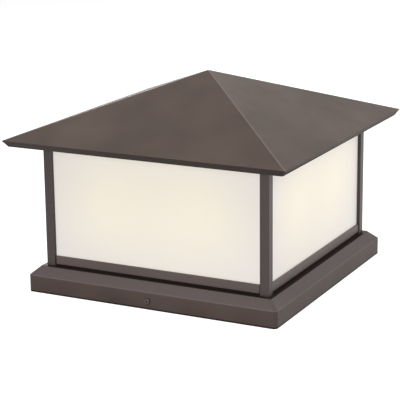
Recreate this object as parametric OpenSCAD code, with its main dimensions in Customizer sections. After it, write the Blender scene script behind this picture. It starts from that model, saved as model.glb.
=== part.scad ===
// Square lantern for the top of a masonry pier. A hipped metal roof and four opal panes stand on a
// chamfered base, and the whole lantern drops over a mounting plate that carries four lamps.
// Millimetres. Z = 0 is the top of the pier, and the origin is the middle of the base. Front is -Y.

/* [Base] */
// Width of the square base over its upright sides
base_w = 340; // [320:1:400]
// Height of the base's upright sides
base_side_h = 21.5; // [19:0.5:30]
// Rise of the chamfer above the upright sides
chamfer_h = 10.5; // [8:0.5:16]
// How far the chamfer runs in by its top
chamfer_in = 12; // [8:0.5:16]
// Radius of the base's upright corners, seen from above
base_corner_r = 5; // [4:0.5:8]
// Radius of the chamfer's corners at its top
chamfer_corner_r = 2; // [1:0.5:4]
// Thickness of the base's walls and top
skirt_t = 3; // [2:0.5:3.5]
// Width of the base's top that is left inside the posts
inner_ledge = 12.7; // [8:0.1:18]

/* [Posts and rails] */
// Distance from the chamfer's top edge to the posts' outer faces
post_setback = 5.3; // [3:0.1:9]
// Side of the square posts
post_w = 12; // [10:0.5:16]
// Radius of the posts' long edges
post_edge_r = 1.2; // [0.5:0.1:2]
// Height of the posts, from the base's top to the roof plate
post_h = 156.8; // [150:0.1:200]
// Height of the bottom rails' faces
rail_h = 10.6; // [8:0.1:16]
// Height of the top rails' faces
top_rail_h = 9; // [7:0.1:9]
// Gap between the bottom rails and the base's top
rail_gap = 2.4; // [1:0.1:5]
// How far the rails' faces lie behind the posts' faces
rail_setback = 1.4; // [0.6:0.1:2.2]
// Thickness of a rail's outer lip, in front of the glass
rail_lip = 2.8; // [2:0.1:3.4]
// Thickness of a rail's inner lip, behind the glass
rail_back = 2; // [1.5:0.1:3]
// Thickness of a rail's floor, under or over the glass
rail_floor = 3; // [2:0.1:4]
// Open joint between the end of a rail's lip and the post
rail_joint = 1; // [0.3:0.1:1.5]
// Width of the foam strips that close the gap under the bottom rails
rail_seal_w = 6; // [3:0.5:6]
// How far those strips lie behind the rails' faces
rail_seal_setback = 1.2; // [0.5:0.1:2]

/* [Glass] */
// Thickness of the opal panes
glass_t = 3; // [2.5:0.1:4]
// Free play between the glass and the metal round it
glass_clear = 0.2; // [0.1:0.05:0.4]
// Depth of the grooves that hold the panes in the posts
glass_bite = 2; // [1.5:0.1:3]
// Thickness of the rubber strips that the panes stand on
glass_pad_t = 1; // [0.5:0.1:2]
// Length of each of those strips
glass_pad_len = 40; // [20:1:80]

/* [Roof] */
// How far the eaves stand out past the posts
eave_overhang = 36.2; // [25:0.1:50]
// Slope of the roof, in degrees
roof_pitch = 20.4; // [15:0.1:35]
// Height of the band that is folded under at the eaves
fascia_h = 8; // [6:0.5:12]
// How far that band slopes in by its lower edge
fascia_in = 5.5; // [3:0.5:8]
// Thickness of the roof sheet
roof_t = 1.5; // [1:0.1:2]
// Width of the small flat at the apex
apex_flat = 3; // [2:0.5:8]
// Width of the open seam in the folded band at each corner
seam_w = 0.8; // [0.4:0.1:1.5]
// Height of that seam
seam_h = 5.6; // [3:0.1:5.6]
// Thickness of the roof plate, on top of the posts
soffit_t = 1.5; // [1:0.1:2.5]
// Height of the roof plate's underside over the fascia's lower edge
soffit_inset = 1.1; // [0.5:0.1:3]
// Play between the roof plate's edge and the fascia
soffit_clear = 0.6; // [0.3:0.1:1.5]
// Width of each clip that joins the roof to its plate
clip_w = 24; // [16:1:40]
// Length of a clip's foot on the roof plate
clip_foot = 14; // [12:0.5:20]

/* [Pier mounting] */
// Thickness of the rubber seal under the plate
seal_t = 2; // [1.5:0.1:3]
// Width of that seal
seal_w = 16; // [10:1:25]
// Thickness of the mounting plate
plate_t = 2; // [1.5:0.1:3]
// Height of the plate's turned-up edges over its upper face
plate_flange_h = 13; // [10:0.5:14]
// Gap between those edges and the inside of the base
plate_gap = 6; // [5.8:0.1:8]
// Length cut out of the turned-up edges at each corner
plate_notch = 8; // [4:0.5:16]
// Distance between the holes that fix the plate to the pier, both ways
fixing_spacing = 240; // [230:1:260]
// Diameter of those holes
fixing_hole_d = 7.5; // [5:0.5:10]
// Diameter of the hole through the bushing, for the supply wires
wire_hole_d = 16; // [10:0.5:20]
// Thickness of the bushing's wall inside the plate's hole
bushing_wall = 2.8; // [1.5:0.1:4]

/* [Wiring cover] */
// Distance from a lampholder's foot to the cover's upright walls
cover_margin = 5; // [2:0.5:10]
// Height of the cover over the plate
cover_h = 30; // [28:0.5:36]
// Thickness of the cover's sheet
cover_t = 1; // [0.8:0.1:1.5]
// Width of the flange round the foot of the cover
cover_flange = 10; // [9:0.5:12]
// Radius of the cover's upright corners
cover_corner_r = 4; // [2:0.5:6]
// Diameter of each hole that lets a lampholder's wires through
cover_wire_hole_d = 20; // [16:0.5:24]

/* [Lamps] */
// Distance between the lamps, both ways
lamp_spacing = 136; // [130:1:140]
// Diameter of a lampholder's body
holder_d = 38; // [36:0.5:42]
// Height of a lampholder
holder_h = 34; // [30:0.5:40]
// Diameter of a lampholder's foot
holder_foot_d = 44; // [43:0.5:50]
// Height of that foot
holder_foot_h = 7; // [5:0.5:10]
// How far the middle of the foot stands up inside the body
holder_spigot_h = 1; // [0.5:0.1:2]
// Play between that spigot and the body
spigot_play = 0.2; // [0.1:0.05:0.4]
// Diameter of a lamp's screw cap
cap_d = 26; // [24:0.1:27]
// Length of a lamp's screw cap, with its contact
cap_len = 26; // [24:0.5:30]
// Play between a lamp's cap and the threaded shell
cap_play = 0.35; // [0.2:0.05:0.5]
// Thickness of the threaded shell
shell_t = 0.8; // [0.5:0.1:1]
// Largest diameter of a lamp's glass
bulb_d = 60; // [50:1:66]
// Overall length of a lamp
bulb_len = 108; // [100:1:112]
// Thickness of a lamp's glass and cap
bulb_t = 0.8; // [0.6:0.1:1.2]
// Distance between a lampholder's two screws
holder_screw_spacing = 35; // [34:0.5:36]

/* [Screws and wires] */
// Thread diameter of the base, post, roof and cover screws
screw_d = 4; // [3:0.5:4.5]
// Head diameter of those screws
screw_head_d = 7.6; // [7:0.1:9]
// Head height of those screws
screw_head_h = 2.2; // [1.8:0.1:2.6]
// Width of their hexagon sockets, across flats
screw_hex = 2.5; // [2:0.5:3]
// Play between a screw and what it threads into
thread_play = 0.05; // [0.02:0.01:0.08]
// Play between a screw and a plain hole that it passes through
hole_play = 0.25; // [0.15:0.05:0.5]
// Depth that the posts' screws reach into the posts
post_screw_bite = 11; // [6:0.5:20]
// Thickness of the nuts behind the base screws
base_nut_t = 5; // [3:0.5:5.5]
// Width of those nuts, across flats
base_nut_w = 8; // [7:0.5:12]
// Gap between the tip of a base screw and the plate's turned-up edge
tip_gap = 0.3; // [0.2:0.1:0.5]
// Thread diameter of the lampholders' screws
holder_screw_d = 3; // [2.5:0.1:3.5]
// Diameter of the insulated wires
wire_d = 2; // [1.6:0.1:2.4]
// Diameter of a wire connector at its mouth
connector_d = 13; // [12:0.5:15]
// Length of a wire connector
connector_len = 18; // [16:0.5:20]

/* [Hidden] */

$fn = 64;
// Sides of the round corners inside a hull
hull_fn = 32;
// Overrun of a cut past the face that it opens
over = 1;

// The corners and the sides, each a quarter turn on from the one before
CORNERS = ["front_right", "rear_right", "rear_left", "front_left"];
SIDES = ["front", "right", "rear", "left"];
quarters = [0, 90, 180, 270];
function corner_turn(corner) = quarters[search([corner], CORNERS)[0]];
function side_turn(side) = quarters[search([side], SIDES)[0]];

// The bushing, and its play in the plate's hole
bushing_r = wire_hole_d / 2 + bushing_wall;
bushing_play = 0.2;

// Levels, from the pier up
plate_z = seal_t;
plate_top = plate_z + plate_t;
cover_top = plate_top + cover_h;
base_h = base_side_h + chamfer_h;
rail_z = base_h + rail_gap;
post_top = base_h + post_h;
glass_z = rail_z + rail_floor + glass_pad_t;
glass_top = post_top - rail_floor - glass_clear;
fascia_z = post_top - soffit_inset;
eave_z = fascia_z + fascia_h;
soffit_top = post_top + soffit_t;

// Half widths, from the outside in
base_half = base_w / 2;
skirt_in = base_half - skirt_t;
plate_half = skirt_in - plate_gap;
post_out = base_half - chamfer_in - post_setback;
post_in = post_out - post_w;
post_mid = post_out - post_w / 2;
rail_out = post_out - rail_setback;
glass_out = rail_out - rail_lip - glass_clear;
glass_in = glass_out - glass_t;
rail_in = glass_in - glass_clear - rail_back;
opening_half = post_in - inner_ledge;
eave_half = post_out + eave_overhang;
fascia_half = eave_half - fascia_in;
// The foam strips stop a little short of the posts
rail_seal_half = post_in - 0.2;

// The roof: rise of its slope, lean of its fascia, and its wall measured straight down and sideways
roof_rise = tan(roof_pitch);
roof_drop = roof_t / cos(roof_pitch);
fascia_lean = fascia_in / fascia_h;
fascia_wall = roof_t * norm([1, fascia_lean]);
apex_z = eave_z + (eave_half - apex_flat / 2) * roof_rise;
// Where the slope's inner face meets the fascia's inner face, and half the flat inside the apex
eave_in_z = eave_z + (fascia_wall * roof_rise - roof_drop) / (1 + fascia_lean * roof_rise);
eave_in_half = eave_half - fascia_wall - (eave_z - eave_in_z) * fascia_lean;
apex_in_half = apex_flat / 2 - (roof_drop - roof_t) / roof_rise;
soffit_half = fascia_half + soffit_inset * fascia_lean - fascia_wall - soffit_clear;

// A lamp stands on its contact, which stands on the lampholder's foot
lamp_pos = lamp_spacing / 2;
holder_body_z = cover_top + holder_foot_h;
holder_top = cover_top + holder_h;
contact_z = holder_body_z + holder_spigot_h;
contact_rise = 3;
contact_t = 0.6;
contact_play = 0.1;
bulb_z = contact_z + contact_rise + contact_play;
cap_top = bulb_z + cap_len;
// The threaded shell fits in the body, a little short of its rim and of the foot
shell_fit = 0.1;
shell_end = 1;
shell_r = cap_d / 2 + cap_play;
shell_z = contact_z + shell_end;
shell_top = holder_top - shell_end;
holder_bore_r = shell_r + shell_t + shell_fit;
// Cement fills the gap between a lamp's neck and its cap
cement_gap = 0.2;
neck_r = cap_d / 2 - bulb_t - cement_gap;

// Air under the head of a seated screw
seat_gap = 0.05;

// Base screws: through the middle of the base's upright sides at the front and the back
base_screw_z = base_side_h / 2;
base_screw_len = base_half - plate_half - tip_gap;

// Wire connectors: black and white splices each side of the bushing, and the ground splice
splice_y = 24;
ground_splice_x = -52;
ground_screw_x = ground_splice_x - 23;
lead_offset = 6;
lead_hole_r = wire_d / 2 + 0.4;
connector_z = plate_top + 0.3;
connector_mouth = connector_z + connector_len;
connector_wall = 2;
connector_bore_d = connector_d - 2 * connector_wall;
connector_bore_depth = 10;
// Leads stop short of the connector's floor, and enter its mouth from this height over it
lead_end_gap = 0.3;
lead_entry = 1.5;
splice_step = 1.5;

// A square with rounded corners, centred
module rounded_square(w, r) {
    square([w - 2 * r, w], center = true);
    square([w, w - 2 * r], center = true);
    for (x = [-1, 1], y = [-1, 1])
        translate([x * (w / 2 - r), y * (w / 2 - r)]) circle(r);
}

// A button-head screw that hangs down from its seat at the origin, with its head above
module button_screw(d, len, head_d, head_h, hex) {
    rim_h = head_h * 0.3;
    difference() {
        union() {
            rotate_extrude() polygon([
                [0, 0], [head_d / 2, 0], [head_d / 2, rim_h],
                [head_d * 0.4, head_h * 0.8], [head_d * 0.28, head_h], [0, head_h]
            ]);
            translate([0, 0, -len]) cylinder(d = d, h = len + head_h / 2);
        }
        translate([0, 0, head_h * 0.35]) cylinder(d = hex / cos(30), h = head_h, $fn = 6);
    }
}

module standard_screw(len) {
    button_screw(screw_d, len, screw_head_d, screw_head_h, screw_hex);
}

// The base: a chamfered shell, open underneath, with a square opening in its top
module skirt_solid(inset, top) {
    $fn = hull_fn;
    side_r = base_corner_r - min(inset, base_corner_r - 1);
    top_r = max(0.5, chamfer_corner_r - inset / 2);
    lean = chamfer_in / chamfer_h;
    // The inner chamfer starts lower than the outer one, so that the wall is as thick there
    start_z = base_side_h - inset * (norm([1, lean]) - 1) / lean;
    slab = 0.01;
    hull() {
        translate([0, 0, inset > 0 ? -over : 0])
            linear_extrude(slab) rounded_square(base_w - 2 * inset, side_r);
        translate([0, 0, start_z - slab])
            linear_extrude(slab) rounded_square(base_w - 2 * inset, side_r);
        translate([0, 0, top - slab])
            linear_extrude(slab) rounded_square(base_w - 2 * (inset + lean * (top - start_z)), top_r);
    }
}

module base_skirt() {
    color("#5c5250") difference() {
        skirt_solid(0, base_h);
        skirt_solid(skirt_t, base_h - skirt_t);
        translate([0, 0, base_h - skirt_t - over])
            linear_extrude(skirt_t + 2 * over) rounded_square(2 * opening_half, base_corner_r);
        for (side = ["front", "rear"]) rotate(side_turn(side))
            translate([0, -base_half - over, base_screw_z])
                rotate([-90, 0, 0]) cylinder(d = screw_d + 2 * hole_play, h = skirt_t + 2 * over);
        for (a = quarters) rotate(a)
            translate([post_mid, -post_mid, base_h - skirt_t - over])
                cylinder(d = screw_d + 2 * hole_play, h = skirt_t + 2 * over);
    }
}

module base_screw_nuts() {
    color("#a9a49b") for (side = ["front", "rear"]) rotate(side_turn(side))
        translate([0, -skirt_in, base_screw_z]) rotate([-90, 0, 0]) difference() {
            cylinder(d = base_nut_w / cos(30), h = base_nut_t, $fn = 6);
            translate([0, 0, -over])
                cylinder(d = screw_d + 2 * thread_play, h = base_nut_t + 2 * over);
        }
}

module base_screw(side) {
    color("#7a716c") rotate(side_turn(side))
        translate([0, -base_half - seat_gap, base_screw_z]) rotate([90, 0, 0])
            standard_screw(base_screw_len);
}

// Corner posts: square bars with a groove for each pane and a threaded hole in each end
module post(corner) {
    groove = glass_t + 2 * glass_clear;
    color("#5c5250") rotate(corner_turn(corner)) difference() {
        translate([post_mid, -post_mid, base_h])
            linear_extrude(post_h) rounded_square(post_w, post_edge_r);
        translate([post_in - over, -glass_out - glass_clear, rail_z + rail_floor])
            cube([glass_bite + over, groove, post_h]);
        translate([glass_in - glass_clear, -post_in - glass_bite, rail_z + rail_floor])
            cube([groove, glass_bite + over, post_h]);
        for (z = [base_h - over, post_top - post_screw_bite - 1])
            translate([post_mid, -post_mid, z])
                cylinder(d = screw_d + 2 * thread_play, h = post_screw_bite + 1 + over);
    }
}

module post_foot_screws() {
    color("#a9a49b") for (a = quarters) rotate(a)
        translate([post_mid, -post_mid, base_h - skirt_t - seat_gap]) rotate([180, 0, 0])
            standard_screw(skirt_t + post_screw_bite);
}

module post_head_screws() {
    color("#a9a49b") for (a = quarters) rotate(a)
        translate([post_mid, -post_mid, soffit_top + seat_gap])
            standard_screw(soffit_t + post_screw_bite);
}

// Rails: channels that hold the panes' lower and upper edges, drawn for the front and open upwards
module rail(h) {
    difference() {
        rotate([90, 0, 90]) linear_extrude(2 * post_in, center = true) polygon([
            [-rail_out, 0], [-rail_in, 0], [-rail_in, h],
            [-rail_in - rail_back, h], [-rail_in - rail_back, rail_floor],
            [-rail_out + rail_lip, rail_floor], [-rail_out + rail_lip, h], [-rail_out, h]
        ]);
        for (x = [-post_in - over, post_in - rail_joint])
            translate([x, -rail_out - over, -over])
                cube([rail_joint + over, over + rail_lip, h + 2 * over]);
    }
}

module bottom_rail(side) {
    color("#655a57") rotate(side_turn(side)) translate([0, 0, rail_z]) rail(rail_h);
}

module top_rail(side) {
    color("#655a57") rotate(side_turn(side)) translate([0, 0, post_top]) mirror([0, 0, 1]) rail(top_rail_h);
}

module rail_seals() {
    color("#2b2b2b") for (a = quarters) rotate(a)
        translate([-rail_seal_half, rail_seal_setback - rail_out, base_h])
            cube([2 * rail_seal_half, rail_seal_w, rail_gap]);
}

module glass_pads() {
    pad_x = post_in - glass_pad_len;
    color("#2b2b2b") for (a = quarters, x = [-1, 1]) rotate(a)
        translate([x * pad_x - glass_pad_len / 2, -glass_out, rail_z + rail_floor])
            cube([glass_pad_len, glass_t, glass_pad_t]);
}

module glass(side) {
    w = 2 * (post_in + glass_bite - glass_clear);
    color("#f4ecdc") rotate(side_turn(side))
        translate([-w / 2, -glass_out, glass_z]) cube([w, glass_t, glass_top - glass_z]);
}

// The roof: one profile along the front crossed with the same profile along the side
module hipped(half_profile) {
    last = len(half_profile) - 1;
    profile = concat(half_profile, [for (i = [last : -1 : 0]) [-half_profile[i][0], half_profile[i][1]]]);
    intersection_for (turn = [0, 90])
        rotate([90, 0, turn]) linear_extrude(2 * eave_half + 2 * over, center = true) polygon(profile);
}

module roof() {
    tip = eave_half * sqrt(2);
    color("#655a57") difference() {
        hipped([[fascia_half, fascia_z], [eave_half, eave_z], [apex_flat / 2, apex_z]]);
        hipped([
            [fascia_half - fascia_wall - over * fascia_lean, fascia_z - over],
            [eave_in_half, eave_in_z], [apex_in_half, apex_z - roof_t]
        ]);
        for (a = quarters) rotate(a + 45)
            translate([-seam_w / 2, -tip, fascia_z - over])
                cube([seam_w, 2 * (eave_half - eave_in_half + fascia_in), seam_h + over]);
    }
}

// The roof plate closes the roof from below and ties the posts together
module roof_plate() {
    clip_screw_y = soffit_half - clip_foot / 2;
    color("#e9e4da") translate([0, 0, post_top]) difference() {
        linear_extrude(soffit_t) square(2 * soffit_half, center = true);
        for (a = quarters) rotate(a) {
            translate([post_mid, -post_mid, -over])
                cylinder(d = screw_d + 2 * hole_play, h = soffit_t + 2 * over);
            translate([0, -clip_screw_y, -over])
                cylinder(d = screw_d + 2 * hole_play, h = soffit_t + 2 * over);
        }
    }
}

// Clips inside the fascia: a leaning leg welded to the fascia and a foot on the roof plate
module roof_clips() {
    clip_t = 2;
    weld_gap = 0.02;
    foot_z = soffit_top;
    leg_top = eave_z - 1;
    leg_x = function (z) fascia_half + (z - fascia_z) * fascia_lean - fascia_wall - weld_gap;
    wall = clip_t * norm([1, fascia_lean]);
    color("#a9a49b") for (a = quarters) rotate(a) difference() {
        rotate([90, 0, 90]) linear_extrude(clip_w, center = true) polygon([
            [-leg_x(foot_z), foot_z], [-soffit_half + clip_foot, foot_z],
            [-soffit_half + clip_foot, foot_z + clip_t],
            [-leg_x(foot_z + clip_t) + wall, foot_z + clip_t],
            [-leg_x(leg_top) + wall, leg_top], [-leg_x(leg_top), leg_top]
        ]);
        translate([0, -soffit_half + clip_foot / 2, foot_z - over])
            cylinder(d = screw_d + 2 * thread_play, h = clip_t + 2 * over);
    }
}

module roof_screws() {
    color("#7a716c") for (a = quarters) rotate(a)
        translate([0, -soffit_half + clip_foot / 2, post_top - seat_gap]) rotate([180, 0, 0])
            standard_screw(soffit_t + 4);
}

// Pier mounting: a seal, and a plate with turned-up edges that the base screws bear on
module pier_seal() {
    color("#2b2b2b") linear_extrude(seal_t) difference() {
        rounded_square(2 * plate_half, base_corner_r);
        rounded_square(2 * (plate_half - seal_w), base_corner_r);
    }
}

module plate_holes() {
    translate([0, 0, plate_z - over]) {
        for (x = [-1, 1], y = [-1, 1])
            translate([x * fixing_spacing / 2, y * fixing_spacing / 2])
                cylinder(d = fixing_hole_d, h = plate_t + 2 * over);
        cylinder(r = bushing_r + bushing_play, h = plate_t + 2 * over);
        translate([ground_screw_x, 0]) cylinder(d = screw_d + 2 * thread_play, h = plate_t + 2 * over);
        for (a = quarters) rotate(a) translate([cover_screw_x, -cover_screw_y])
            cylinder(d = screw_d + 2 * thread_play, h = plate_t + 2 * over);
    }
}

module mounting_plate() {
    edge = 2 * (plate_half - plate_notch);
    color("#b9b4ab") difference() {
        union() {
            translate([0, 0, plate_z]) linear_extrude(plate_t) {
                square([2 * plate_half, edge], center = true);
                square([edge, 2 * plate_half], center = true);
            }
            for (a = quarters) rotate(a)
                translate([-edge / 2, -plate_half, plate_z])
                    cube([edge, plate_t, plate_t + plate_flange_h]);
        }
        plate_holes();
    }
}

module wire_bushing() {
    lip = 1.4;
    top_h = 1.5;
    color("#1f1f1f") rotate_extrude() polygon([
        [wire_hole_d / 2, plate_z - lip], [bushing_r + lip / 2, plate_z - lip],
        [bushing_r + lip, plate_z], [bushing_r, plate_z], [bushing_r, plate_top],
        [bushing_r + 2 * lip, plate_top], [bushing_r + 2 * lip, plate_top + top_h],
        [wire_hole_d / 2, plate_top + top_h]
    ]);
}

// The wiring cover: a white tray, upside down, that hides the splices and carries the lampholders
cover_half = lamp_pos + holder_foot_d / 2 + cover_margin;
cover_screw_y = cover_half + cover_flange / 2;
cover_screw_x = cover_half / 2;

module at_lamps() {
    for (a = quarters) rotate(a) translate([lamp_pos, -lamp_pos, 0]) children();
}

module wiring_cover() {
    color("#efece4") difference() {
        translate([0, 0, plate_top]) {
            linear_extrude(cover_h) rounded_square(2 * cover_half, cover_corner_r);
            linear_extrude(cover_t) rounded_square(2 * (cover_half + cover_flange), cover_corner_r);
        }
        translate([0, 0, plate_top - over])
            linear_extrude(cover_h - cover_t + over)
                rounded_square(2 * (cover_half - cover_t), cover_corner_r - cover_t);
        at_lamps() translate([0, 0, cover_top - cover_t - over]) {
            cylinder(d = cover_wire_hole_d, h = cover_t + 2 * over);
            for (y = [-1, 1]) translate([0, y * holder_screw_spacing / 2])
                cylinder(d = holder_screw_d + 2 * hole_play, h = cover_t + 2 * over);
        }
        for (a = quarters) rotate(a) translate([cover_screw_x, -cover_screw_y, plate_top - over])
            cylinder(d = screw_d + 2 * hole_play, h = cover_t + 2 * over);
    }
}

module cover_screws() {
    color("#a9a49b") for (a = quarters) rotate(a)
        translate([cover_screw_x, -cover_screw_y, plate_top + cover_t + seat_gap])
            standard_screw(cover_t + plate_t + seal_t / 2);
}

module ground_screw() {
    color("#3f8f4f") translate([ground_screw_x, 0, plate_top + wire_d + 2 * seat_gap])
        standard_screw(wire_d + plate_t + seal_t / 2);
}

// Lampholders: a porcelain foot on the cover, and a porcelain body cemented over its spigot
holder_round = 1.5;
holder_screw_depth = holder_foot_h - 1;

module lampholder_foot(corner) {
    foot_r = holder_foot_d / 2;
    color("#f1efe9") rotate(corner_turn(corner)) translate([lamp_pos, -lamp_pos, 0]) difference() {
        rotate_extrude() polygon([
            [0, cover_top], [foot_r, cover_top], [foot_r, holder_body_z - holder_round],
            [foot_r - holder_round, holder_body_z], [holder_bore_r - spigot_play, holder_body_z],
            [holder_bore_r - spigot_play, contact_z], [0, contact_z]
        ]);
        for (x = [-1, 1]) translate([x * lead_offset, 0, cover_top - over])
            cylinder(r = lead_hole_r, h = contact_z - cover_top + 2 * over);
        for (y = [-1, 1]) translate([0, y * holder_screw_spacing / 2, cover_top - over])
            cylinder(d = holder_screw_d + 2 * thread_play, h = holder_screw_depth + over);
    }
}

// The body narrows a little towards its rim, as a pressed piece does
module lampholder(corner) {
    body_r = holder_d / 2;
    rim_r = body_r - 0.8;
    color("#f1efe9") rotate(corner_turn(corner)) translate([lamp_pos, -lamp_pos, 0]) rotate_extrude() polygon([
        [holder_bore_r, holder_body_z], [body_r, holder_body_z], [rim_r, holder_top - holder_round],
        [rim_r - holder_round, holder_top], [holder_bore_r, holder_top]
    ]);
}

module screw_shell(corner) {
    color("#c9a54e") rotate(corner_turn(corner)) translate([lamp_pos, -lamp_pos, shell_z]) difference() {
        cylinder(r = shell_r + shell_t, h = shell_top - shell_z);
        translate([0, 0, -over]) cylinder(r = shell_r, h = shell_top - shell_z + 2 * over);
    }
}

// A springy tongue, bent up under each lamp's tip
module centre_contacts() {
    half_w = 2.5;
    reach = 4;
    color("#c9a54e") at_lamps() rotate([90, 0, 90]) linear_extrude(2 * half_w, center = true) polygon([
        [-reach, contact_z], [reach, contact_z], [reach, contact_z + contact_t],
        [contact_t - reach / 2, contact_z + contact_t],
        [reach / 2, contact_z + contact_rise - contact_t], [reach / 2, contact_z + contact_rise],
        [-reach / 2, contact_z + contact_rise], [-reach, contact_z + contact_rise / 2]
    ]);
}

module lampholder_screws() {
    color("#a9a49b") at_lamps() for (y = [-1, 1])
        translate([0, y * holder_screw_spacing / 2, cover_top - cover_t - seat_gap]) rotate([180, 0, 0])
            button_screw(holder_screw_d, cover_t + holder_screw_depth - 1, holder_screw_d * 1.8,
                holder_screw_d * 0.55, holder_screw_d * 0.6);
}

// Lamps: a frosted glass envelope that is cemented into a metal screw cap
module bulb_glass(corner) {
    r = bulb_d / 2;
    globe_z = bulb_z + bulb_len - r;
    foot_z = cap_top - 3;
    // The globe runs from the neck, 50 degrees under its middle, to its top
    low = -50;
    steps = 20;
    neck_steps = 9;
    globe = function (r) [for (i = [0 : steps]) let (a = low + (90 - low) * i / steps)
        [i == steps ? 0 : r * cos(a), globe_z + r * sin(a)]];
    // The neck swells slowly at first, and meets the globe along the globe's own slope
    neck = function (r, foot_r) let (end = globe(r)[0], rise = end[1] - cap_top)
        [for (i = [0 : neck_steps - 1]) let (t = i / neck_steps)
            [bend(foot_r, foot_r, end[0] - rise * 0.35 * tan(-low), end[0], t),
             bend(cap_top, cap_top + rise * 0.4, end[1] - rise * 0.35, end[1], t)]];
    outer = concat([[neck_r, foot_z]], neck(r, neck_r), globe(r));
    inner = concat([[neck_r - bulb_t, foot_z]], neck(r - bulb_t, neck_r - bulb_t), globe(r - bulb_t));
    color("#fbf6ea") rotate(corner_turn(corner)) translate([lamp_pos, -lamp_pos, 0])
        rotate_extrude() polygon(concat(outer, [for (i = [len(inner) - 1 : -1 : 0]) inner[i]]));
}

module bulb_cap(corner) {
    r = cap_d / 2;
    tip_r = 4.5;
    tip_h = 1;
    cone_h = 3.5;
    color("#c8c6c0") rotate(corner_turn(corner)) translate([lamp_pos, -lamp_pos, 0])
        rotate_extrude() polygon([
            [0, bulb_z], [tip_r - 0.5, bulb_z], [tip_r, bulb_z + tip_h],
            [r - 1, bulb_z + cone_h], [r, bulb_z + cone_h + 1], [r, cap_top],
            [r - bulb_t, cap_top], [r - bulb_t, bulb_z + cone_h + 2],
            [tip_r, bulb_z + tip_h + 1.5], [0, bulb_z + tip_h + 1.5]
        ]);
}

// Wires: tubes along curves that start straight down and end straight down in a connector
function bend(a, b, c, d, t) =
    a * pow(1 - t, 3) + 3 * b * t * pow(1 - t, 2) + 3 * c * t * t * (1 - t) + d * pow(t, 3);

// The curve lies in one upright plane, so its sideways direction is the same all along
function sideways(a, d) = let (v = [d[1] - a[1], a[0] - d[0], 0]) v / norm(v);

module wire(path, side) {
    sides = 6;
    last = len(path) - 1;
    along = [for (i = [0 : last]) let (v = path[min(i + 1, last)] - path[max(i - 1, 0)]) v / norm(v)];
    points = [for (i = [0 : last], k = [0 : sides - 1]) let (up = cross(side, along[i]))
        path[i] + wire_d / 2 * (cos(360 * k / sides) * side + sin(360 * k / sides) * up)];
    faces = concat(
        [for (k = [1 : sides - 2]) [0, k + 1, k]],
        [for (k = [1 : sides - 2]) [last * sides, last * sides + k, last * sides + k + 1]],
        [for (i = [0 : last - 1], k = [0 : sides - 1]) let (n = (k + 1) % sides)
            [i * sides + k, i * sides + n, (i + 1) * sides + n]],
        [for (i = [0 : last - 1], k = [0 : sides - 1]) let (n = (k + 1) % sides)
            [i * sides + k, (i + 1) * sides + n, (i + 1) * sides + k]]
    );
    polyhedron(points, faces, convexity = 6);
}

// One lead from a lampholder at xy a to a connector at xy d, dipping to low and rising to high
module lamp_lead(a, d, low, high) {
    start_z = contact_z - 0.5;
    leave_z = cover_top - cover_t - 2;
    mouth_z = connector_mouth + lead_entry;
    end_z = connector_mouth - connector_bore_depth + lead_end_gap;
    steps = 10;
    p = function (v, z) [v[0], v[1], z];
    path = concat(
        [p(a, start_z)],
        [for (i = [0 : steps]) bend(p(a, leave_z), p(a, low), p(d, high), p(d, mouth_z), i / steps)],
        [p(d, end_z)]
    );
    wire(path, sideways(p(a, 0), p(d, 0)));
}

// The leads to one connector: each starts on one side of its lampholder and ends in its own quarter
module lamp_leads(splice, side, low, high) {
    for (x = [-1, 1], y = [-1, 1]) lamp_lead(
        [x * lamp_pos + (x * y < 0 ? side : 0) * lead_offset, y * lamp_pos + (x * y > 0 ? side : 0) * lead_offset],
        [splice[0] + x * splice_step, splice[1] + y * splice_step], low, high
    );
}

module black_leads() {
    color("#1c1c1c") lamp_leads([0, splice_y], 1, connector_mouth - 5, connector_mouth + 9);
}

module white_leads() {
    color("#e8e8e8") lamp_leads([0, -splice_y], -1, connector_mouth - 18, connector_mouth + 3);
}

// The ground lead runs out flat from under its screw's head, and loops over into its connector
module ground_lead() {
    lead_z = plate_top + wire_d / 2 + seat_gap;
    start = [ground_screw_x + screw_d / 2 + wire_d / 2 + hole_play, 0, lead_z];
    clear = [ground_screw_x + screw_head_d / 2 + wire_d, 0, lead_z];
    mouth = [ground_splice_x, 0, connector_mouth + lead_entry];
    steps = 12;
    path = concat(
        [start],
        [for (i = [0 : steps]) bend(clear, clear + [7, 0, 0], mouth + [-8, 0, 16], mouth, i / steps)],
        [[ground_splice_x, 0, connector_mouth - connector_bore_depth + lead_end_gap]]
    );
    color("#3f8f4f") wire(path, [0, 1, 0]);
}

module wire_connectors() {
    r = connector_d / 2;
    color("#c8502a") for (p = [[0, splice_y], [0, -splice_y], [ground_splice_x, 0]])
        translate([p[0], p[1], connector_z]) difference() {
            rotate_extrude() polygon([
                [0, 0], [r * 0.55, 0], [r * 0.68, 1.5], [r * 0.9, connector_len - 5],
                [r, connector_len - 4], [r, connector_len], [0, connector_len]
            ]);
            translate([0, 0, connector_len - connector_bore_depth])
                cylinder(d = connector_bore_d, h = connector_bore_depth + over);
        }
}

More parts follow.
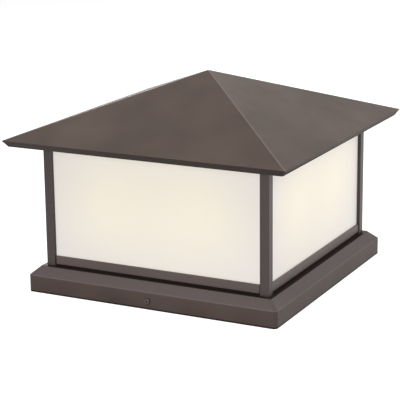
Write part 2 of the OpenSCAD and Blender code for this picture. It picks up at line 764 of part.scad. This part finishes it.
pier_seal();
mounting_plate();
wire_bushing();
wiring_cover();
cover_screws();
ground_screw();
ground_lead();
wire_connectors();
black_leads();
white_leads();
lampholder_foot("front_right");  // lampholder_foot_front_right
lampholder_foot("rear_right");  // lampholder_foot_rear_right
lampholder_foot("rear_left");  // lampholder_foot_rear_left
lampholder_foot("front_left");  // lampholder_foot_front_left
lampholder("front_right");  // lampholder_front_right
lampholder("rear_right");  // lampholder_rear_right
lampholder("rear_left");  // lampholder_rear_left
lampholder("front_left");  // lampholder_front_left
screw_shell("front_right");  // screw_shell_front_right
screw_shell("rear_right");  // screw_shell_rear_right
screw_shell("rear_left");  // screw_shell_rear_left
screw_shell("front_left");  // screw_shell_front_left
centre_contacts();
lampholder_screws();
bulb_glass("front_right");  // bulb_glass_front_right
bulb_glass("rear_right");  // bulb_glass_rear_right
bulb_glass("rear_left");  // bulb_glass_rear_left
bulb_glass("front_left");  // bulb_glass_front_left
bulb_cap("front_right");  // bulb_cap_front_right
bulb_cap("rear_right");  // bulb_cap_rear_right
bulb_cap("rear_left");  // bulb_cap_rear_left
bulb_cap("front_left");  // bulb_cap_front_left
base_skirt();
base_screw_nuts();
base_screw("front");  // front_base_screw
base_screw("rear");  // rear_base_screw
post("front_right");  // post_front_right
post("rear_right");  // post_rear_right
post("rear_left");  // post_rear_left
post("front_left");  // post_front_left
rail_seals();
bottom_rail("front");  // bottom_rail_front
bottom_rail("right");  // bottom_rail_right
bottom_rail("rear");  // bottom_rail_rear
bottom_rail("left");  // bottom_rail_left
top_rail("front");  // top_rail_front
top_rail("right");  // top_rail_right
top_rail("rear");  // top_rail_rear
top_rail("left");  // top_rail_left
glass_pads();
glass("front");  // glass_front
glass("right");  // glass_right
glass("rear");  // glass_rear
glass("left");  // glass_left
roof_plate();
roof();
roof_clips();
roof_screws();
post_foot_screws();
post_head_screws();
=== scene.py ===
import math

import bmesh
import bpy
from mathutils import Matrix, Vector


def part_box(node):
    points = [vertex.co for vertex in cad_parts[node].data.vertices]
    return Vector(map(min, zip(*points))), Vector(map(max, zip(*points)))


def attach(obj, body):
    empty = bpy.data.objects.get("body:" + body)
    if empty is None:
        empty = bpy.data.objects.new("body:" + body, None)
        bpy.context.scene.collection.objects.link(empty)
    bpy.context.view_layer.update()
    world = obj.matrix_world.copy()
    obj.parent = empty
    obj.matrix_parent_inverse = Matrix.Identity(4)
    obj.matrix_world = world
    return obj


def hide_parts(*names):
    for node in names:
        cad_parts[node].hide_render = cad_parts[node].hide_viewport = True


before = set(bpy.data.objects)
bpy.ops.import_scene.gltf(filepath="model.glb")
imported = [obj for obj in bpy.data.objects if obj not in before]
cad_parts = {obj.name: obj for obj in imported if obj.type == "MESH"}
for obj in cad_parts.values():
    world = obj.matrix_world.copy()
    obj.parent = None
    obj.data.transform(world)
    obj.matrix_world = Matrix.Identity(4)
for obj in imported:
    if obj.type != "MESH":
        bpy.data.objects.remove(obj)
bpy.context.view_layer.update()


# Seals, glass pads and bushing. The pier seal is a frame stamped from closed-cell rubber sheet, which keeps
# water away from the wiring. The panes stand on strips of the same sheet, and more of it closes the gap under
# the rails, where its black also stands in for that gap's shade. The bushing is moulded rubber, and snaps
# into the plate so that the supply wires don't rub on it.

# Metres in a millimetre
MM = 0.001


def srgb(code):
    """A hex colour as the linear red, green, blue and alpha of Blender's sockets."""
    shares = [int(code[i:i + 2], 16) / 255 for i in (0, 2, 4)]
    return [c / 12.92 if c <= 0.04045 else ((c + 0.055) / 1.055) ** 2.4 for c in shares] + [1.0]


def shader_of(material):
    """A material's Principled shader."""
    return material.node_tree.nodes["Principled BSDF"]


def material_of(name, **sockets):
    """A material with these values on its shader's own sockets."""
    material = bpy.data.materials.new(name)
    material.use_nodes = True
    for socket, value in sockets.items():
        shader_of(material).inputs[socket.replace("_", " ")].default_value = value
    return material


def add(owner, kind, settings, links):
    """Adds a node to a material or world, with its settings, its inputs' values and the links into it."""
    node = owner.node_tree.nodes.new(kind)
    for name, value in settings.items():
        if isinstance(name, str) and hasattr(node, name):
            setattr(node, name, value)
        else:
            node.inputs[name].default_value = value
    for name, socket in links.items():
        owner.node_tree.links.new(socket, node.inputs[name])
    return node


def feed(material, socket, output):
    """Links a node's output into a socket of the material's shader."""
    material.node_tree.links.new(output, shader_of(material).inputs[socket])


def clouds(material, size_mm):
    """A noise from 0 to 1 whose clouds are as wide as the size."""
    place = add(material, "ShaderNodeTexCoord", {}, {}).outputs["Object"]
    noise = add(material, "ShaderNodeTexNoise", {"Scale": 1 / (size_mm * MM)}, {"Vector": place})
    return noise.outputs["Fac"]


def shade_between(material, size_mm, low, high, socket="Base Color"):
    """Lets the colour wander between two hex colours, over clouds of the size."""
    mix = add(material, "ShaderNodeMix", {"data_type": "RGBA", 6: srgb(low), 7: srgb(high)},
              {0: clouds(material, size_mm)})
    feed(material, socket, mix.outputs[2])


def rough_between(material, size_mm, low, high):
    """Lets the roughness wander between two values, over clouds of the size."""
    span = add(material, "ShaderNodeMapRange", {"To Min": low, "To Max": high},
               {"Value": clouds(material, size_mm)})
    feed(material, "Roughness", span.outputs["Result"])


def grain(material, size_mm, height_mm):
    """Raises a grain as wide and as high as the sizes."""
    bump = add(material, "ShaderNodeBump", {"Distance": height_mm * MM},
               {"Height": clouds(material, size_mm)})
    feed(material, "Normal", bump.outputs["Normal"])


def coat(material, *nodes):
    """Puts a material on CAD nodes."""
    for node in nodes:
        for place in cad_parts[node].material_slots:
            place.material = material


# Closed-cell rubber sheet: dull and nearly black, with pores of about 0.8 mm on its cut skin
cell_rubber = material_of("closed_cell_rubber", Specular_IOR_Level=0.1)
shade_between(cell_rubber, 30, "161414", "242120")
rough_between(cell_rubber, 5, 0.78, 0.92)
grain(cell_rubber, 0.8, 0.12)
# The rail seals are real strips, and their black also stands in for the shade in the gap under the rails
coat(cell_rubber, "pier_seal", "glass_pads", "rail_seals")

# Moulded rubber: black, and smoother than the sheet
moulded_rubber = material_of("moulded_rubber")
shade_between(moulded_rubber, 12, "171719", "222223")
rough_between(moulded_rubber, 4, 0.5, 0.65)
grain(moulded_rubber, 1.0, 0.03)
coat(moulded_rubber, "wire_bushing")


# Mounting plate, screws and nuts. The plate is 2 mm steel sheet, punched and folded up along its four edges,
# then zinc plated. The screws, nuts and roof clips are plated in the same kind of bath.

# Corners of the mesh closer than this are one corner, and edges that turn by more degrees than this are sharp
SAME_CORNER = 0.002
SHARP_TURN = 25


def ease(width_mm, *nodes):
    """Breaks the sharp edges of CAD nodes, as a press, a fold or a file leaves them."""
    for node in nodes:
        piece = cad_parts[node]
        weld = piece.modifiers.new("weld", "WELD")
        weld.merge_threshold = SAME_CORNER * MM
        edge = piece.modifiers.new("edge", "BEVEL")
        edge.width = width_mm * MM
        edge.segments = 3
        edge.limit_method = "ANGLE"
        edge.angle_limit = math.radians(SHARP_TURN)
        edge.harden_normals = True


# Zinc plate over steel: a cool grey metal with a faint mottle where the bath lay uneven
zinc_plate = material_of("zinc_plated_steel", Metallic=1.0)
shade_between(zinc_plate, 22, "878887", "A3A29D")
rough_between(zinc_plate, 9, 0.36, 0.48)
grain(zinc_plate, 1.5, 0.01)
coat(zinc_plate, "mounting_plate", "cover_screws", "lampholder_screws", "base_screw_nuts",
     "roof_clips", "post_foot_screws", "post_head_screws")
ease(0.4, "mounting_plate")

# Green dyed zinc: the same plate with a clear green dye, which marks the screw for the ground wire
green_zinc = material_of("green_dyed_zinc", Metallic=1.0)
shade_between(green_zinc, 3, "2F7A3E", "4C9A55")
rough_between(green_zinc, 2, 0.3, 0.42)
coat(green_zinc, "ground_screw")


# Wiring cover. A tray drawn from 1 mm steel sheet stands upside down over the splices and carries the
# lampholders. It is stoved with white enamel, so that it throws the lamps' light up.

# Stoved white enamel: glossy, and a little duller here and there where it flowed before it set
white_enamel = material_of("stoved_white_enamel", Coat_Weight=0.25, Coat_Roughness=0.2)
shade_between(white_enamel, 60, "CFCBC2", "D8D5CD")
rough_between(white_enamel, 15, 0.22, 0.34)
coat(white_enamel, "wiring_cover")
ease(0.5, "wiring_cover")


# Leads and connectors. Each lead is stranded copper in a coat of soft plastic, black for the live side, white
# for the neutral and green for the ground. Three moulded twist-on connectors hold the splices.

# Plastic wire coats: semi-gloss, and a little uneven from the die that they were drawn through
for name, low, high, node in (
    ("black_wire_coat", "161616", "202021", "black_leads"),
    ("white_wire_coat", "DAD8D2", "ECEBE6", "white_leads"),
    ("green_wire_coat", "2E7B3C", "3F8F4A", "ground_lead"),
):
    wire_coat = material_of(name)
    shade_between(wire_coat, 8, low, high)
    rough_between(wire_coat, 3, 0.34, 0.46)
    coat(wire_coat, node)

# Moulded polypropylene: orange, with the waxy half-gloss of that plastic
connector_plastic = material_of("moulded_polypropylene", Subsurface_Weight=0.05)
shade_between(connector_plastic, 6, "BE4A24", "D45A2E")
rough_between(connector_plastic, 2, 0.4, 0.52)
grain(connector_plastic, 0.9, 0.02)
coat(connector_plastic, "wire_connectors")


# Lampholders. A pressed porcelain body is glazed, fired and cemented on its foot, and screwed to the cover
# from below. A shell rolled from thin brass sheet takes the lamp's thread, and a brass tongue springs up
# under the lamp's tip.

CORNERS = ("front_right", "rear_right", "rear_left", "front_left")
# Pitch of the lamps' thread, and how finely turned pieces are drawn: the step between rings, and the columns
THREAD_PITCH = 3.63
RING_STEP = 0.3
COLUMNS = 72

# Glazed porcelain: a warm white body under a clear, deep gloss, duller in spots of about 1 mm
porcelain = material_of("glazed_porcelain", Coat_Weight=0.8, Coat_Roughness=0.04, Coat_IOR=1.5)
shade_between(porcelain, 14, "D3D0C8", "DDDAD4")
rough_between(porcelain, 1.2, 0.2, 0.3)
coat(porcelain, *["lampholder_" + corner for corner in CORNERS])
coat(porcelain, *["lampholder_foot_" + corner for corner in CORNERS])

# Pressed brass: bright yellow metal, a little cloudy from the rolls that its sheet went through
pressed_brass = material_of("pressed_brass", Metallic=1.0)
shade_between(pressed_brass, 5, "B88F3C", "D9B765")
rough_between(pressed_brass, 1.5, 0.2, 0.34)
coat(pressed_brass, "centre_contacts")


def middle(node):
    """A round CAD node's middle seen from above, its radius, and its lowest and highest level, in mm."""
    low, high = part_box(node)
    centre = [(low[i] + high[i]) / 2 / MM for i in (0, 1)]
    return centre, high[0] / MM - centre[0], low[2] / MM, high[2] / MM


def levels(start, stop):
    """Levels from the start to the stop, one step of the rings apart."""
    return [start + RING_STEP * i for i in range(int((stop - start) / RING_STEP) + 1)]


def put(name, data):
    """Puts a mesh, a light or a camera into the scene."""
    piece = bpy.data.objects.new(name, data)
    bpy.context.scene.collection.objects.link(piece)
    return piece


def mesh_data(name, mesh):
    """Turns a finished mesh into data that a piece can hold."""
    data = bpy.data.meshes.new(name)
    mesh.to_mesh(data)
    mesh.free()
    return data


def turned(name, centre, rings, closed=False):
    """A skin turned round an upright line, through rings of height, radius and depth of thread, in mm."""
    mesh = bmesh.new()
    rows = []
    for height, radius, depth in rings:
        row = []
        for k in range(COLUMNS):
            angle = 2 * math.pi * k / COLUMNS
            wave = 0.5 - 0.5 * math.cos(2 * math.pi * height / THREAD_PITCH - angle)
            reach = radius - depth * wave
            row.append(mesh.verts.new(((centre[0] + reach * math.cos(angle)) * MM,
                                       (centre[1] + reach * math.sin(angle)) * MM, height * MM)))
        rows.append(row)
    pairs = list(zip(rows, rows[1:])) + ([(rows[-1], rows[0])] if closed else [])
    for low, high in pairs:
        for k in range(COLUMNS):
            face = mesh.faces.new((low[k], low[(k + 1) % COLUMNS], high[(k + 1) % COLUMNS], high[k]))
            face.smooth = True
    bmesh.ops.recalc_face_normals(mesh, faces=mesh.faces)
    return put(name, mesh_data(name, mesh))


# The shell's sheet, the depth of its thread, the rise over which that deepens, and its gap in the porcelain
SHELL_SHEET = 0.25
SHELL_THREAD = 0.5
SHELL_FADE = 2.0
SHELL_PLAY = 0.02
for corner in CORNERS:
    centre, radius, foot, rim = middle("screw_shell_" + corner)
    turns = [(z, SHELL_THREAD * min(1, (z - foot) / SHELL_FADE, (rim - z) / SHELL_FADE))
             for z in levels(foot, rim)]
    outside = [(z, radius - SHELL_PLAY, depth) for z, depth in turns]
    inside = [(z, radius - SHELL_PLAY - SHELL_SHEET, depth) for z, depth in turns]
    shell = turned("threaded_shell_" + corner, centre, outside + inside[::-1], closed=True)
    shell.data.materials.append(pressed_brass)
    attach(shell, "pier_mount")
    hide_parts("screw_shell_" + corner)


# Lamps. The glass is blown in a mould and frosted inside, and cemented into a cap of rolled aluminium whose
# thread is pressed in. Black glass holds the cap's tip apart from its thread, and a drop of solder closes it.

# Levels between which the glass grows bright
NECK_LEVEL = 72
GLOBE_LEVEL = 125

# Frosted glass, lit from inside: warm white, brightest round the globe and fading down the neck
lit_glass = material_of("frosted_lamp_glass", Roughness=0.5, Subsurface_Weight=0.2)
shade_between(lit_glass, 20, "B5AEA1", "C0B9AC")
shade_between(lit_glass, 40, "FFE9C4", "FFF1D6", "Emission Color")
place = add(lit_glass, "ShaderNodeTexCoord", {}, {}).outputs["Object"]
level = add(lit_glass, "ShaderNodeSeparateXYZ", {}, {0: place}).outputs["Z"]
fade = add(lit_glass, "ShaderNodeMapRange",
           {"From Min": NECK_LEVEL * MM, "From Max": GLOBE_LEVEL * MM, "To Min": 0.10, "To Max": 0.42,
            "interpolation_type": "SMOOTHSTEP"}, {"Value": level})
feed(lit_glass, "Emission Strength", fade.outputs["Result"])
coat(lit_glass, *["bulb_glass_" + corner for corner in CORNERS])

# Rolled aluminium: pale metal, clouded by the rollers
rolled_aluminium = material_of("rolled_aluminium", Metallic=1.0)
shade_between(rolled_aluminium, 4, "C2C2C0", "DBDAD6")
rough_between(rolled_aluminium, 1.2, 0.25, 0.38)

# Black insulating glass: poured, so it is glossy and a little uneven
black_glass = material_of("black_insulating_glass", IOR=1.52)
shade_between(black_glass, 3, "0E0D10", "1B1A1F")
rough_between(black_glass, 2, 0.08, 0.2)
grain(black_glass, 3, 0.05)

# Solder: soft grey metal, set in one drop
solder = material_of("solder_drop", Metallic=1.0)
shade_between(solder, 2, "9C9C9B", "B6B5B2")
rough_between(solder, 1, 0.3, 0.5)

# Heights over the lamp's tip, from which the cap's rounded foot, its thread and the cone of black glass rise
CAP_FOOT = 3.4
THREAD_FOOT = 4.6
CONE_FOOT = 0.9
CONE_TOP = 3.5
CONE_R = 4.2
# Depth of the cap's thread, the rise over which it deepens, the plain collar above it, and the cap's sheet
CAP_THREAD = 0.7
THREAD_RUN = 1.2
CAP_COLLAR = 3.0
CAP_SHEET = 0.8
# Outline of the solder drop: heights over the tip, and radii
DROP = ((0, 0.01), (0, 1.6), (0.12, 2.8), (0.45, 3.7), (1.0, 4.3))
for corner in CORNERS:
    centre, radius, tip, rim = middle("bulb_cap_" + corner)
    start, stop = tip + THREAD_FOOT, rim - CAP_COLLAR
    rings = [(tip + CAP_FOOT, radius - 1.1, 0), (tip + THREAD_FOOT - 0.3, radius - 0.35, 0)]
    rings += [(z, radius, CAP_THREAD * min(1, (z - start) / THREAD_RUN + 0.3, (stop - z) / THREAD_RUN))
              for z in levels(start, stop)]
    rings += [(stop + 0.4, radius, 0), (rim - 0.3, radius, 0), (rim, radius - 0.25, 0),
              (rim, radius - CAP_SHEET, 0), (stop, radius - CAP_SHEET - 0.1, 0)]
    cap = turned("lamp_cap_" + corner, centre, rings)
    cap.data.materials.append(rolled_aluminium)
    cone = turned("lamp_cap_glass_" + corner, centre,
                  [(tip + CONE_FOOT, CONE_R, 0), (tip + CONE_FOOT + 0.2, CONE_R + 0.6, 0),
                   (tip + CONE_TOP - 0.3, radius - 1.6, 0), (tip + CONE_TOP, radius - 1.2, 0)])
    cone.data.materials.append(black_glass)
    drop = turned("lamp_tip_" + corner, centre, [(tip + rise, reach, 0) for rise, reach in DROP])
    drop.data.materials.append(solder)
    for piece in (cap, cone, drop):
        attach(piece, "lamp_" + corner)
    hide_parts("bulb_cap_" + corner)


# Base, posts and rails. The base is cast aluminium with eased corners, the posts are extruded square bar and
# the rails are extruded channel, screwed together and sprayed with one satin coat of dark bronze.

SIDES = ("front", "right", "rear", "left")
RAILS = ["bottom_rail_" + side for side in SIDES] + ["top_rail_" + side for side in SIDES]
# Levels of the base: the foot of its chamfer, its flat top, the level from which the sides' painted light
# grows paler upwards, and the levels between which the painted shadow at the foot darkens
CHAMFER_FOOT = 21.5
LEDGE = 32.0
FADE_END = 2.0
FOOT_SHADOW_TOP = 2.8
FOOT_SHADOW_FULL = 1.4
# The coat: how wide its tone drifts, its smoother patches and its orange peel are, and how high that peel is
DRIFT = 80
PATCH = 18
PEEL = 2.5
PEEL_RISE = 0.02
# A painted highlight along an edge: how far off it starts, and how far off it is full
LINE_START = 0.9
LINE_FULL = 0.4
BASE_GLOSS = 0.12


def bronze_coat(name, low, high, gloss, smoothest, roughest, *nodes):
    """A powder coat of dark bronze on CAD nodes, between two hex colours and two roughnesses."""
    material = material_of(name, Specular_IOR_Level=gloss)
    shade_between(material, DRIFT, low, high)
    rough_between(material, PATCH, smoothest, roughest)
    grain(material, PEEL, PEEL_RISE)
    coat(material, *nodes)
    return material


def turn_where(material, measure, far, near, code, most=1.0):
    """Turns the colour that a material has so far to a hex colour, as a measure goes from far to near."""
    shade = shader_of(material).inputs["Base Color"].links[0].from_socket
    share = add(material, "ShaderNodeMapRange", {"From Min": far, "From Max": near, "To Max": most},
                {"Value": measure})
    mix = add(material, "ShaderNodeMix", {"data_type": "RGBA", 7: srgb(code)},
              {0: share.outputs[0], 6: shade})
    feed(material, "Base Color", mix.outputs[2])


def from_middle(material):
    """How far a point lies across and along from the lantern's middle, and its level."""
    place = add(material, "ShaderNodeTexCoord", {}, {}).outputs["Object"]
    axes = add(material, "ShaderNodeSeparateXYZ", {}, {0: place}).outputs
    across, along = [add(material, "ShaderNodeMath", {"operation": "ABSOLUTE"}, {0: axes[i]}).outputs[0]
                     for i in (0, 1)]
    return across, along, axes[2]


def from_mitre(material, across, along):
    """How far a point lies from the nearest mitre, where the distances across and along are the same."""
    apart = add(material, "ShaderNodeMath", {"operation": "SUBTRACT"}, {0: across, 1: along}).outputs[0]
    return add(material, "ShaderNodeMath", {"operation": "ABSOLUTE"}, {0: apart}).outputs[0]


# Powder-coated aluminium, dark bronze: a warm brown satin that white surroundings turn greyer. Its skin has
# an orange peel about 2.5 mm wide that breaks up reflections, and its tone drifts over 80 mm from one pass of
# the gun to the next. The coat comes out smoother and paler on the extruded rails than on the casting. A
# paler line about 1.5 mm wide along a bend or a sharp edge is a painted highlight.
bronze_coat("bronze_coat_on_bar", "322927", "3C312E", 0.38, 0.40, 0.46,
            *["post_" + corner for corner in CORNERS])
bronze_coat("bronze_coat_on_channel", "493F3C", "594C49", 0.30, 0.36, 0.42, *RAILS)
base_coat = bronze_coat("bronze_coat_on_casting", "312824", "564944", BASE_GLOSS, 0.42, 0.50, "base_skirt")
across, along, level = from_middle(base_coat)
# Painted light from above: the sides grow paler towards the chamfer, and the chamfer is palest
turn_where(base_coat, level, FADE_END * MM, CHAMFER_FOOT * MM, "504542", 0.5)
# Painted shadow: the lowest band of the sides, where the base meets the pier, darkens to near black
turn_where(base_coat, level, FOOT_SHADOW_TOP * MM, FOOT_SHADOW_FULL * MM, "1A1512")
# Painted light: above its foot the chamfer turns paler still
turn_where(base_coat, level, (CHAMFER_FOOT - 0.3) * MM, (CHAMFER_FOOT + 0.3) * MM, "524847", 0.85)
# Painted highlights: paler lines run along the chamfer's foot and down the corners
rise = add(base_coat, "ShaderNodeMath", {"operation": "SUBTRACT", 1: CHAMFER_FOOT * MM}, {0: level})
rise = add(base_coat, "ShaderNodeMath", {"operation": "ABSOLUTE"}, {0: rise.outputs[0]})
turn_where(base_coat, rise.outputs[0], LINE_START * MM, LINE_FULL * MM, "5C514F")
mitre = from_mitre(base_coat, across, along)
turn_where(base_coat, mitre, LINE_START * MM, LINE_FULL * MM, "5A4F4D", 0.6)
# Painted shade: the flat top beside the rails, under the lantern, is darkened, and its gloss is turned down
# with it
turn_where(base_coat, level, (LEDGE - 0.4) * MM, (LEDGE - 0.05) * MM, "221B18")
dull = add(base_coat, "ShaderNodeMapRange",
           {"From Min": (LEDGE - 0.4) * MM, "From Max": LEDGE * MM, "To Min": BASE_GLOSS, "To Max": 0.05},
           {"Value": level})
feed(base_coat, "Specular IOR Level", dull.outputs["Result"])
ease(1.0, "base_skirt")
ease(0.3, *RAILS)


# Base screws. Two dark steel button heads, in the middle of the front and the back, run through nuts behind
# the base and bear on the plate's turned-up edges.

# Radii of the shadow under the rim and of the key's hole
SCREW_RIM = 3.4
KEY_HOLE = 1.5

# Coated steel: the same bronze as the base, with a dark ring under the rim that is a painted shadow, and
# near-black painted shade in the key's hole
bronze_steel = material_of("bronze_coated_steel", Specular_IOR_Level=0.3)
shade_between(bronze_steel, 3, "443A36", "544944")
rough_between(bronze_steel, 1.5, 0.42, 0.52)
_, _, foot, top = middle("front_base_screw")
place = add(bronze_steel, "ShaderNodeTexCoord", {}, {}).outputs["Object"]
flat = add(bronze_steel, "ShaderNodeVectorMath", {"operation": "MULTIPLY", 1: (1, 0, 1)}, {0: place})
reach = add(bronze_steel, "ShaderNodeVectorMath", {"operation": "DISTANCE", 1: (0, 0, (foot + top) / 2 * MM)},
            {0: flat.outputs[0]}).outputs["Value"]
turn_where(bronze_steel, reach, (SCREW_RIM - 0.5) * MM, SCREW_RIM * MM, "1B1613")
turn_where(bronze_steel, reach, KEY_HOLE * MM, (KEY_HOLE - 0.4) * MM, "0D0A09")
coat(bronze_steel, "front_base_screw", "rear_base_screw")


# Panes. Sheets of 3 mm opal glass, acid-etched outside, stand in the rails' channels and the posts' grooves.
# The four lamps behind them make a soft bright spot where each lamp is nearest the glass.

# Level of the lamps' globes, and the distance at which one lamp alone gives a glow of 1
LAMP_LEVEL = 122
GLOW_REACH = 80

# Etched opal glass: a milky body, cream white with hardly a cloud in it, under a fine satin skin
opal_glass = material_of("etched_opal_glass", Roughness=0.42, IOR=1.52, Specular_IOR_Level=0.4,
                         Emission_Strength=1.0)
shade_between(opal_glass, 120, "9A958B", "A09B91")
grain(opal_glass, 1.2, 0.01)
# The glow is painted light, an emission for each lamp's light through the glass: it falls off with the square
# of its distance, and is warmest where it is strongest
place = add(opal_glass, "ShaderNodeTexCoord", {}, {}).outputs["Object"]
spots = []
for corner in CORNERS:
    centre = middle("bulb_glass_" + corner)[0]
    lamp = (centre[0] * MM, centre[1] * MM, LAMP_LEVEL * MM)
    away = add(opal_glass, "ShaderNodeVectorMath", {"operation": "DISTANCE", 1: lamp}, {0: place})
    near = add(opal_glass, "ShaderNodeMath", {"operation": "DIVIDE", 0: GLOW_REACH * MM},
               {1: away.outputs["Value"]})
    spot = add(opal_glass, "ShaderNodeMath", {"operation": "POWER", 1: 2.0}, {0: near.outputs[0]})
    spots.append(spot.outputs[0])
glow = spots[0]
for spot in spots[1:]:
    glow = add(opal_glass, "ShaderNodeMath", {"operation": "ADD"}, {0: glow, 1: spot}).outputs[0]
warmth = add(opal_glass, "ShaderNodeMix",
             {"data_type": "RGBA", "clamp_factor": False, 6: srgb("9699AC"), 7: srgb("B6B1AC")}, {0: glow})
feed(opal_glass, "Emission Color", warmth.outputs[2])
coat(opal_glass, *["glass_" + side for side in SIDES])
ease(0.4, *["glass_" + side for side in SIDES])


# Roof. One sheet of aluminium is folded along its hips and turned under at the eaves, where the mitred
# corners of the fold stay open by less than a millimetre. Four clips hold it to the plate that lies on the
# posts.

# Distance from the middle to the middle of the rails, where the plate's enamel ends
RAIL_LINE = 147.0
ROOF_GLOSS = 0.17
# The painted highlight along a hip, as on the base's edges
HIP_START = 1.5
HIP_FULL = 0.8

# The bronze coat again, on sheet, with a paler line along each hip that is a painted highlight
roof_coat = bronze_coat("bronze_coat_on_sheet", "302620", "564840", ROOF_GLOSS, 0.42, 0.50, "roof")
across, along, _ = from_middle(roof_coat)
hip = from_mitre(roof_coat, across, along)
turn_where(roof_coat, hip, HIP_START * MM, HIP_FULL * MM, "625853")
# Painted shade: the band folded under at the eaves, and every face that looks down, is darkened
lean = add(roof_coat, "ShaderNodeTexCoord", {}, {}).outputs["Normal"]
lean = add(roof_coat, "ShaderNodeSeparateXYZ", {}, {0: lean}).outputs["Z"]
turn_where(roof_coat, lean, -0.1, -0.4, "2A211D")
# Seen along the sheet, its orange peel shades itself, so that the coat doesn't mirror like a smooth one
facing = add(roof_coat, "ShaderNodeLayerWeight", {}, {}).outputs["Facing"]
glance = add(roof_coat, "ShaderNodeMapRange",
             {"From Min": 0.72, "From Max": 0.88, "To Min": ROOF_GLOSS, "To Max": 0.004}, {"Value": facing})
feed(roof_coat, "Specular IOR Level", glance.outputs["Result"])
ease(1.1, "roof")

# Enamel with a bronze rim: the plate is white over the lamps, like the wiring cover, but matt. Its rim shows
# under the eaves, outside the rails, and is sprayed over with the roof's dark bronze
rimmed_enamel = material_of("white_enamel_with_bronze_rim", Specular_IOR_Level=0.05)
shade_between(rimmed_enamel, 60, "CFCBC2", "D8D5CD")
rough_between(rimmed_enamel, 15, 0.45, 0.6)
across, along, _ = from_middle(rimmed_enamel)
reach = add(rimmed_enamel, "ShaderNodeMath", {"operation": "MAXIMUM"}, {0: across, 1: along}).outputs[0]
turn_where(rimmed_enamel, reach, (RAIL_LINE - 0.5) * MM, (RAIL_LINE + 0.5) * MM, "2A211D")
coat(rimmed_enamel, "roof_plate")

# The roof's own screws are steel, browned in hot oil: dark, and smooth enough to glint
browned_steel = material_of("oil_browned_steel", Metallic=0.6)
shade_between(browned_steel, 3, "4A423E", "5E5550")
rough_between(browned_steel, 1.5, 0.28, 0.38)
coat(browned_steel, "roof_screws")


# Studio. A floor of white paper in a white room, and four square soft lights: one overhead, one on the right,
# one low before the front, and one low behind the left, which draws the far edges.

# In metres: the width of a light, the point that all lights face, and how far the floor reaches
SOFTBOX = 1.2
AIM = Vector((0, 0, 0.12))
FLOOR_REACH = 6
# The paper's own light where it is looked at, and the room's light on the lantern, as shares of white
PAPER_WHITE = 0.88
ROOM_LIGHT = 0.11

for name, place, watts in (
    ("front_light", (-0.4, -0.7, 2.0), 32),
    ("side_light", (1.8, 1.3, 1.1), 46),
    ("low_light", (0.3, -2.2, 0.5), 34),
    ("back_light", (-1.3, 2.0, 0.45), 25),
):
    light = bpy.data.lights.new(name, "AREA")
    light.shape = "SQUARE"
    light.size = SOFTBOX
    light.energy = watts
    box = put(name, light)
    box.location = place
    box.rotation_euler = (AIM - Vector(place)).to_track_quat("-Z", "Y").to_euler()


def looked_at(owner):
    """1 for the rays that look straight, in a reflection or through glass, and 0 for the rays that light."""
    path = add(owner, "ShaderNodeLightPath", {}, {})
    seen = path.outputs["Is Camera Ray"]
    for ray in ("Is Glossy Ray", "Is Transmission Ray"):
        either = add(owner, "ShaderNodeMath", {"operation": "MAXIMUM"}, {0: seen, 1: path.outputs[ray]})
        seen = either.outputs[0]
    return seen


# White paper: plain and matt. Seen straight or in a reflection it is white, and it still takes the shadow
paper = material_of("white_paper", Roughness=0.95, Specular_IOR_Level=0.0, Base_Color=srgb("A8A8A8"),
                    Emission_Color=(1, 1, 1, 1))
white = add(paper, "ShaderNodeMath", {"operation": "MULTIPLY", 1: PAPER_WHITE}, {0: looked_at(paper)})
feed(paper, "Emission Strength", white.outputs[0])
mesh = bmesh.new()
for x, y in ((-1, -1), (1, -1), (1, 1), (-1, 1)):
    mesh.verts.new((x * FLOOR_REACH, y * FLOOR_REACH, 0))
mesh.faces.new(mesh.verts)
floor = put("paper_floor", mesh_data("paper_floor", mesh))
floor.data.materials.append(paper)

world = bpy.data.worlds.new("studio")
world.use_nodes = True
bpy.context.scene.world = world
room = world.node_tree.nodes["Background"]
room.inputs["Color"].default_value = (1, 1, 1, 1)
glare = add(world, "ShaderNodeMapRange", {"To Min": ROOM_LIGHT, "To Max": 1.0}, {"Value": looked_at(world)})
world.node_tree.links.new(glare.outputs["Result"], room.inputs["Strength"])
bpy.context.scene.view_settings.view_transform = "Standard"

# The camera stands 2 m away, to the right of the front and a little above, with a long lens
LENS = 137.43
FILM_WIDTH = 36
AZIMUTH = math.radians(26.95)
ELEVATION = math.radians(14.94)
ROLL = math.radians(-0.65)
SIDE_STEP = -0.0123
RISE = 0.0928
DISTANCE = 1.9935
back = Vector((math.sin(AZIMUTH) * math.cos(ELEVATION), -math.cos(AZIMUTH) * math.cos(ELEVATION),
               math.sin(ELEVATION)))
right = Vector((math.cos(AZIMUTH), math.sin(AZIMUTH), 0))
up = back.cross(right)
camera = put("camera", bpy.data.cameras.new("camera"))
camera.data.lens = LENS
camera.data.sensor_width = FILM_WIDTH
turn = Matrix((right * math.cos(ROLL) + up * math.sin(ROLL),
               up * math.cos(ROLL) - right * math.sin(ROLL), back))
camera.matrix_world = (Matrix.Translation(back * DISTANCE + right * SIDE_STEP + up * RISE)
                       @ turn.transposed().to_4x4())
bpy.context.scene.camera = camera
